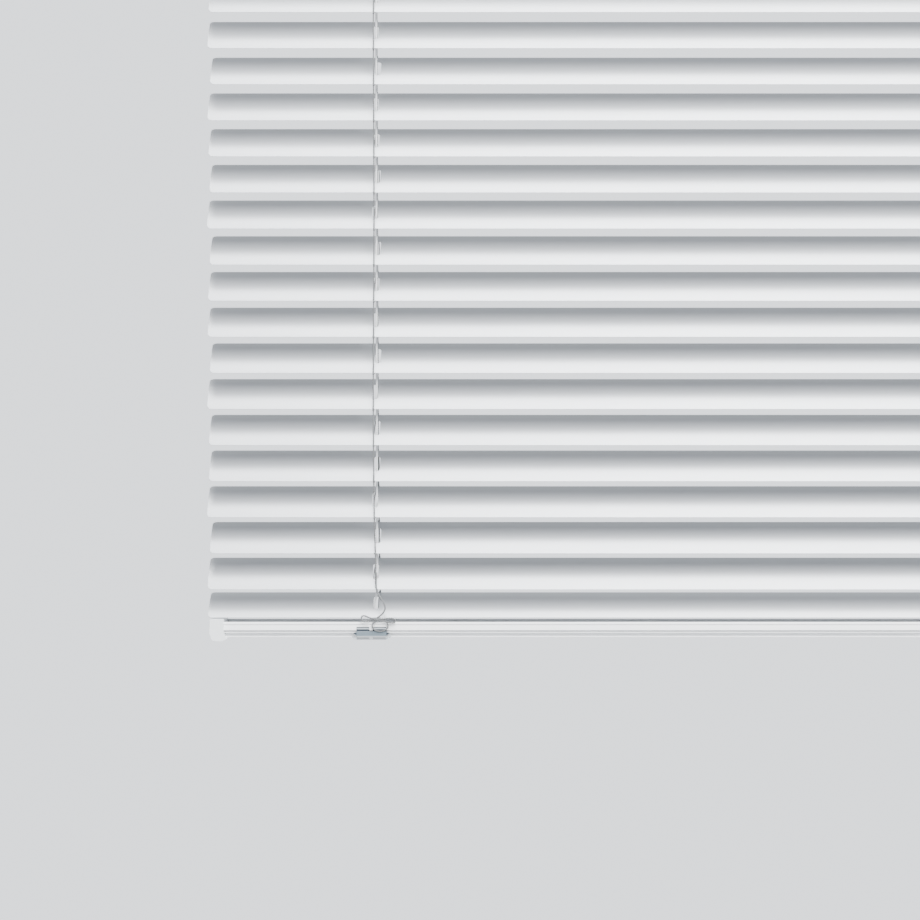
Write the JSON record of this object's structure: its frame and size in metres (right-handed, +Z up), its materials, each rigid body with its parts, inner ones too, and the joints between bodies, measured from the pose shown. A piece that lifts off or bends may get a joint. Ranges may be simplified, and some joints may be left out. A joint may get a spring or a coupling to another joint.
{
  "type": "venetian blind",
  "caption": "Venetian blind with curved aluminium slats on string ladders under a headrail, tilted by a wand and raised by its spring-balanced bottom rail.",
  "frame": {"origin": "middle of the plane that the two brackets are fixed under", "axes": "+X along the headrail, from the left end to the wand end; +Y towards the window; +Z up"},
  "size_m": [0.6, 0.0374, 0.43],
  "materials": {
    "slat_aluminium": "satin silver lacquer",
    "rail_enamel": "satin silver-white enamel",
    "zinc_steel": "zinc plated",
    "white_plastic": "moulded, matt",
    "clip_plastic": "translucent, moulded",
    "clear_plastic": "clear, moulded",
    "lift_cord": "braided white cord",
    "ladder_string": "twisted grey string"
  },
  "bodies": {
    "headrail": {"headrail": "rail_enamel", "headrail_cap_left": "white_plastic", "headrail_cap_right": "white_plastic", "bracket_left": "zinc_steel", "bracket_right": "zinc_steel", "cradle_left": "white_plastic", "cradle_right": "white_plastic", "tilter_housing": "white_plastic", "spring_motor_case": "white_plastic"},
    "tilt_shaft": {"tilt_rod": "zinc_steel", "tilt_gear": "white_plastic", "ladder_drum_left": "white_plastic", "ladder_drum_right": "white_plastic"},
    "tilter_worm": {"tilter_worm": "white_plastic"},
    "wand_socket": {"wand_socket": "clear_plastic"},
    "wand": {"wand": "clear_plastic"},
    "cord_spool": {"cord_spool": "white_plastic"},
    "bottom_rail": {"bottom_rail": "rail_enamel", "rail_cap_left": "white_plastic", "rail_cap_right": "white_plastic", "rail_clip_left": "clip_plastic", "rail_clip_right": "clip_plastic"},
    "string_front_left": {"ladder_string_front_left": "ladder_string"},
    "string_rear_left": {"ladder_string_rear_left": "ladder_string"},
    "string_front_right": {"ladder_string_front_right": "ladder_string"},
    "string_rear_right": {"ladder_string_rear_right": "ladder_string"},
    "carrier_02": {"lift_cord_left_02": "lift_cord"},
    "carrier_03": {"lift_cord_right_03": "lift_cord"},
    "carrier_04": {"lift_cord_left_04": "lift_cord"},
    "carrier_05": {"lift_cord_right_05": "lift_cord"},
    "carrier_06": {"lift_cord_left_06": "lift_cord"},
    "carrier_07": {"lift_cord_right_07": "lift_cord"},
    "carrier_08": {"lift_cord_left_08": "lift_cord"},
    "carrier_09": {"lift_cord_right_09": "lift_cord"},
    "carrier_10": {"lift_cord_left_10": "lift_cord"},
    "carrier_11": {"lift_cord_right_11": "lift_cord"},
    "carrier_12": {"lift_cord_left_12": "lift_cord"},
    "carrier_13": {"lift_cord_right_13": "lift_cord"},
    "carrier_14": {"lift_cord_left_14": "lift_cord"},
    "carrier_15": {"lift_cord_right_15": "lift_cord"},
    "carrier_16": {"lift_cord_left_16": "lift_cord"},
    "carrier_17": {"lift_cord_right_17": "lift_cord"},
    "slat_01": {"slat_01": "slat_aluminium"},
    "slat_02": {"slat_02": "slat_aluminium"},
    "slat_03": {"slat_03": "slat_aluminium"},
    "slat_04": {"slat_04": "slat_aluminium"},
    "slat_05": {"slat_05": "slat_aluminium"},
    "slat_06": {"slat_06": "slat_aluminium"},
    "slat_07": {"slat_07": "slat_aluminium"},
    "slat_08": {"slat_08": "slat_aluminium"},
    "slat_09": {"slat_09": "slat_aluminium"},
    "slat_10": {"slat_10": "slat_aluminium"},
    "slat_11": {"slat_11": "slat_aluminium"},
    "slat_12": {"slat_12": "slat_aluminium"},
    "slat_13": {"slat_13": "slat_aluminium"},
    "slat_14": {"slat_14": "slat_aluminium"},
    "slat_15": {"slat_15": "slat_aluminium"},
    "slat_16": {"slat_16": "slat_aluminium"},
    "slat_17": {"slat_17": "slat_aluminium"},
    "slat_18": {"slat_18": "slat_aluminium"}
  },
  "joints": [
    {"name": "tilt", "type": "hinge", "parent": "headrail", "child": "tilt_shaft", "pos_m": [0, 0, -0.012], "axis": [1, 0, 0], "range_deg": [-112, 18]},
    {"name": "lift", "type": "slide", "parent": "headrail", "child": "bottom_rail", "axis": [0, 0, 1], "range_m": [0, 0.3107], "deforming": ["ladder_string_front_left", "ladder_string_rear_left", "ladder_string_front_right", "ladder_string_rear_right"]},
    {"name": "wand_swing", "type": "hinge", "parent": "headrail", "child": "wand_socket", "pos_m": [0.236, -0.01881, -0.03081], "axis": [-1, 0, 0], "range_deg": [0, 45]},
    {"name": "worm_spin", "type": "hinge", "parent": "headrail", "child": "tilter_worm", "pos_m": [0.236, -0.00825, -0.00815], "axis": [0, -0.4226, -0.9063], "range_deg": [-1344, 216]},
    {"name": "wand_spin", "type": "hinge", "parent": "wand_socket", "child": "wand", "pos_m": [0.236, -0.01881, -0.03081], "axis": [0, 0, -1], "range_deg": [-1344, 216]},
    {"name": "cord_spool_spin", "type": "hinge", "parent": "headrail", "child": "cord_spool", "pos_m": [-0.016, 0, -0.02], "axis": [0, 0, 1], "range_deg": [0, 2968]},
    {"name": "string_front_left_hang", "type": "hinge", "parent": "tilt_shaft", "child": "string_front_left", "pos_m": [-0.1984, -0.00921, -0.02187], "axis": [1, 0, 0], "range_deg": [-18, 112]},
    {"name": "string_rear_left_hang", "type": "hinge", "parent": "tilt_shaft", "child": "string_rear_left", "pos_m": [-0.1984, 0.00921, -0.00213], "axis": [1, 0, 0], "range_deg": [-18, 112]},
    {"name": "string_front_right_hang", "type": "hinge", "parent": "tilt_shaft", "child": "string_front_right", "pos_m": [0.1984, -0.00921, -0.02187], "axis": [1, 0, 0], "range_deg": [-18, 112]},
    {"name": "string_rear_right_hang", "type": "hinge", "parent": "tilt_shaft", "child": "string_rear_right", "pos_m": [0.1984, 0.00921, -0.00213], "axis": [1, 0, 0], "range_deg": [-18, 112]},
    {"name": "slat_02_lift", "type": "slide", "parent": "headrail", "child": "carrier_02", "axis": [0, 0, 1], "range_m": [0, 0.0189], "deforming": ["lift_cord_left_02"]},
    {"name": "slat_03_lift", "type": "slide", "parent": "headrail", "child": "carrier_03", "axis": [0, 0, 1], "range_m": [0, 0.0378], "deforming": ["lift_cord_right_03"]},
    {"name": "slat_04_lift", "type": "slide", "parent": "headrail", "child": "carrier_04", "axis": [0, 0, 1], "range_m": [0, 0.0567], "deforming": ["lift_cord_left_04"]},
    {"name": "slat_05_lift", "type": "slide", "parent": "headrail", "child": "carrier_05", "axis": [0, 0, 1], "range_m": [0, 0.0756], "deforming": ["lift_cord_right_05"]},
    {"name": "slat_06_lift", "type": "slide", "parent": "headrail", "child": "carrier_06", "axis": [0, 0, 1], "range_m": [0, 0.0945], "deforming": ["lift_cord_left_06"]},
    {"name": "slat_07_lift", "type": "slide", "parent": "headrail", "child": "carrier_07", "axis": [0, 0, 1], "range_m": [0, 0.1134], "deforming": ["lift_cord_right_07"]},
    {"name": "slat_08_lift", "type": "slide", "parent": "headrail", "child": "carrier_08", "axis": [0, 0, 1], "range_m": [0, 0.1323], "deforming": ["lift_cord_left_08"]},
    {"name": "slat_09_lift", "type": "slide", "parent": "headrail", "child": "carrier_09", "axis": [0, 0, 1], "range_m": [0, 0.1512], "deforming": ["lift_cord_right_09"]},
    {"name": "slat_10_lift", "type": "slide", "parent": "headrail", "child": "carrier_10", "axis": [0, 0, 1], "range_m": [0, 0.1701], "deforming": ["lift_cord_left_10"]},
    {"name": "slat_11_lift", "type": "slide", "parent": "headrail", "child": "carrier_11", "axis": [0, 0, 1], "range_m": [0, 0.189], "deforming": ["lift_cord_right_11"]},
    {"name": "slat_12_lift", "type": "slide", "parent": "headrail", "child": "carrier_12", "axis": [0, 0, 1], "range_m": [0, 0.2079], "deforming": ["lift_cord_left_12"]},
    {"name": "slat_13_lift", "type": "slide", "parent": "headrail", "child": "carrier_13", "axis": [0, 0, 1], "range_m": [0, 0.2268], "deforming": ["lift_cord_right_13"]},
    {"name": "slat_14_lift", "type": "slide", "parent": "headrail", "child": "carrier_14", "axis": [0, 0, 1], "range_m": [0, 0.2457], "deforming": ["lift_cord_left_14"]},
    {"name": "slat_15_lift", "type": "slide", "parent": "headrail", "child": "carrier_15", "axis": [0, 0, 1], "range_m": [0, 0.2646], "deforming": ["lift_cord_right_15"]},
    {"name": "slat_16_lift", "type": "slide", "parent": "headrail", "child": "carrier_16", "axis": [0, 0, 1], "range_m": [0, 0.2835], "deforming": ["lift_cord_left_16"]},
    {"name": "slat_17_lift", "type": "slide", "parent": "headrail", "child": "carrier_17", "axis": [0, 0, 1], "range_m": [0, 0.3024], "deforming": ["lift_cord_right_17"]},
    {"name": "slat_01_tilt", "type": "hinge", "parent": "headrail", "child": "slat_01", "pos_m": [0, 0, -0.0465], "axis": [1, 0, 0], "range_deg": [-112, 18]},
    {"name": "slat_02_tilt", "type": "hinge", "parent": "carrier_02", "child": "slat_02", "pos_m": [0, 0, -0.068], "axis": [1, 0, 0], "range_deg": [-112, 18]},
    {"name": "slat_03_tilt", "type": "hinge", "parent": "carrier_03", "child": "slat_03", "pos_m": [0, 0, -0.0895], "axis": [1, 0, 0], "range_deg": [-112, 18]},
    {"name": "slat_04_tilt", "type": "hinge", "parent": "carrier_04", "child": "slat_04", "pos_m": [0, 0, -0.111], "axis": [1, 0, 0], "range_deg": [-112, 18]},
    {"name": "slat_05_tilt", "type": "hinge", "parent": "carrier_05", "child": "slat_05", "pos_m": [0, 0, -0.1325], "axis": [1, 0, 0], "range_deg": [-112, 18]},
    {"name": "slat_06_tilt", "type": "hinge", "parent": "carrier_06", "child": "slat_06", "pos_m": [0, 0, -0.154], "axis": [1, 0, 0], "range_deg": [-112, 18]},
    {"name": "slat_07_tilt", "type": "hinge", "parent": "carrier_07", "child": "slat_07", "pos_m": [0, 0, -0.1755], "axis": [1, 0, 0], "range_deg": [-112, 18]},
    {"name": "slat_08_tilt", "type": "hinge", "parent": "carrier_08", "child": "slat_08", "pos_m": [0, 0, -0.197], "axis": [1, 0, 0], "range_deg": [-112, 18]},
    {"name": "slat_09_tilt", "type": "hinge", "parent": "carrier_09", "child": "slat_09", "pos_m": [0, 0, -0.2185], "axis": [1, 0, 0], "range_deg": [-112, 18]},
    {"name": "slat_10_tilt", "type": "hinge", "parent": "carrier_10", "child": "slat_10", "pos_m": [0, 0, -0.24], "axis": [1, 0, 0], "range_deg": [-112, 18]},
    {"name": "slat_11_tilt", "type": "hinge", "parent": "carrier_11", "child": "slat_11", "pos_m": [0, 0, -0.2615], "axis": [1, 0, 0], "range_deg": [-112, 18]},
    {"name": "slat_12_tilt", "type": "hinge", "parent": "carrier_12", "child": "slat_12", "pos_m": [0, 0, -0.283], "axis": [1, 0, 0], "range_deg": [-112, 18]},
    {"name": "slat_13_tilt", "type": "hinge", "parent": "carrier_13", "child": "slat_13", "pos_m": [0, 0, -0.3045], "axis": [1, 0, 0], "range_deg": [-112, 18]},
    {"name": "slat_14_tilt", "type": "hinge", "parent": "carrier_14", "child": "slat_14", "pos_m": [0, 0, -0.326], "axis": [1, 0, 0], "range_deg": [-112, 18]},
    {"name": "slat_15_tilt", "type": "hinge", "parent": "carrier_15", "child": "slat_15", "pos_m": [0, 0, -0.3475], "axis": [1, 0, 0], "range_deg": [-112, 18]},
    {"name": "slat_16_tilt", "type": "hinge", "parent": "carrier_16", "child": "slat_16", "pos_m": [0, 0, -0.369], "axis": [1, 0, 0], "range_deg": [-112, 18]},
    {"name": "slat_17_tilt", "type": "hinge", "parent": "carrier_17", "child": "slat_17", "pos_m": [0, 0, -0.3905], "axis": [1, 0, 0], "range_deg": [-112, 18]},
    {"name": "slat_18_tilt", "type": "hinge", "parent": "bottom_rail", "child": "slat_18", "pos_m": [0, 0, -0.4093], "axis": [1, 0, 0], "range_deg": [-61.6, 9.9]}
  ],
  "couplings": [
    {"joint": "worm_spin", "follows": "tilt", "ratio": 12},
    {"joint": "wand_spin", "follows": "tilt", "ratio": 12},
    {"joint": "cord_spool_spin", "follows": "lift", "rad_per_m": 166.67},
    {"joint": "string_front_left_hang", "follows": "tilt", "ratio": -1},
    {"joint": "string_rear_left_hang", "follows": "tilt", "ratio": -1},
    {"joint": "string_front_right_hang", "follows": "tilt", "ratio": -1},
    {"joint": "string_rear_right_hang", "follows": "tilt", "ratio": -1},
    {"joint": "slat_02_lift", "follows": "lift", "ratio": 0.06083},
    {"joint": "slat_03_lift", "follows": "lift", "ratio": 0.12166},
    {"joint": "slat_04_lift", "follows": "lift", "ratio": 0.18249},
    {"joint": "slat_05_lift", "follows": "lift", "ratio": 0.24332},
    {"joint": "slat_06_lift", "follows": "lift", "ratio": 0.30415},
    {"joint": "slat_07_lift", "follows": "lift", "ratio": 0.36498},
    {"joint": "slat_08_lift", "follows": "lift", "ratio": 0.42581},
    {"joint": "slat_09_lift", "follows": "lift", "ratio": 0.48664},
    {"joint": "slat_10_lift", "follows": "lift", "ratio": 0.54747},
    {"joint": "slat_11_lift", "follows": "lift", "ratio": 0.6083},
    {"joint": "slat_12_lift", "follows": "lift", "ratio": 0.66913},
    {"joint": "slat_13_lift", "follows": "lift", "ratio": 0.72996},
    {"joint": "slat_14_lift", "follows": "lift", "ratio": 0.79079},
    {"joint": "slat_15_lift", "follows": "lift", "ratio": 0.85163},
    {"joint": "slat_16_lift", "follows": "lift", "ratio": 0.91246},
    {"joint": "slat_17_lift", "follows": "lift", "ratio": 0.97329},
    {"joint": "slat_01_tilt", "follows": "tilt", "ratio": 1},
    {"joint": "slat_02_tilt", "follows": "tilt", "ratio": 1},
    {"joint": "slat_03_tilt", "follows": "tilt", "ratio": 1},
    {"joint": "slat_04_tilt", "follows": "tilt", "ratio": 1},
    {"joint": "slat_05_tilt", "follows": "tilt", "ratio": 1},
    {"joint": "slat_06_tilt", "follows": "tilt", "ratio": 1},
    {"joint": "slat_07_tilt", "follows": "tilt", "ratio": 1},
    {"joint": "slat_08_tilt", "follows": "tilt", "ratio": 1},
    {"joint": "slat_09_tilt", "follows": "tilt", "ratio": 1},
    {"joint": "slat_10_tilt", "follows": "tilt", "ratio": 1},
    {"joint": "slat_11_tilt", "follows": "tilt", "ratio": 1},
    {"joint": "slat_12_tilt", "follows": "tilt", "ratio": 1},
    {"joint": "slat_13_tilt", "follows": "tilt", "ratio": 1},
    {"joint": "slat_14_tilt", "follows": "tilt", "ratio": 1},
    {"joint": "slat_15_tilt", "follows": "tilt", "ratio": 1},
    {"joint": "slat_16_tilt", "follows": "tilt", "ratio": 1},
    {"joint": "slat_17_tilt", "follows": "tilt", "ratio": 1},
    {"joint": "slat_18_tilt", "follows": "tilt", "ratio": 0.55}
  ]
}
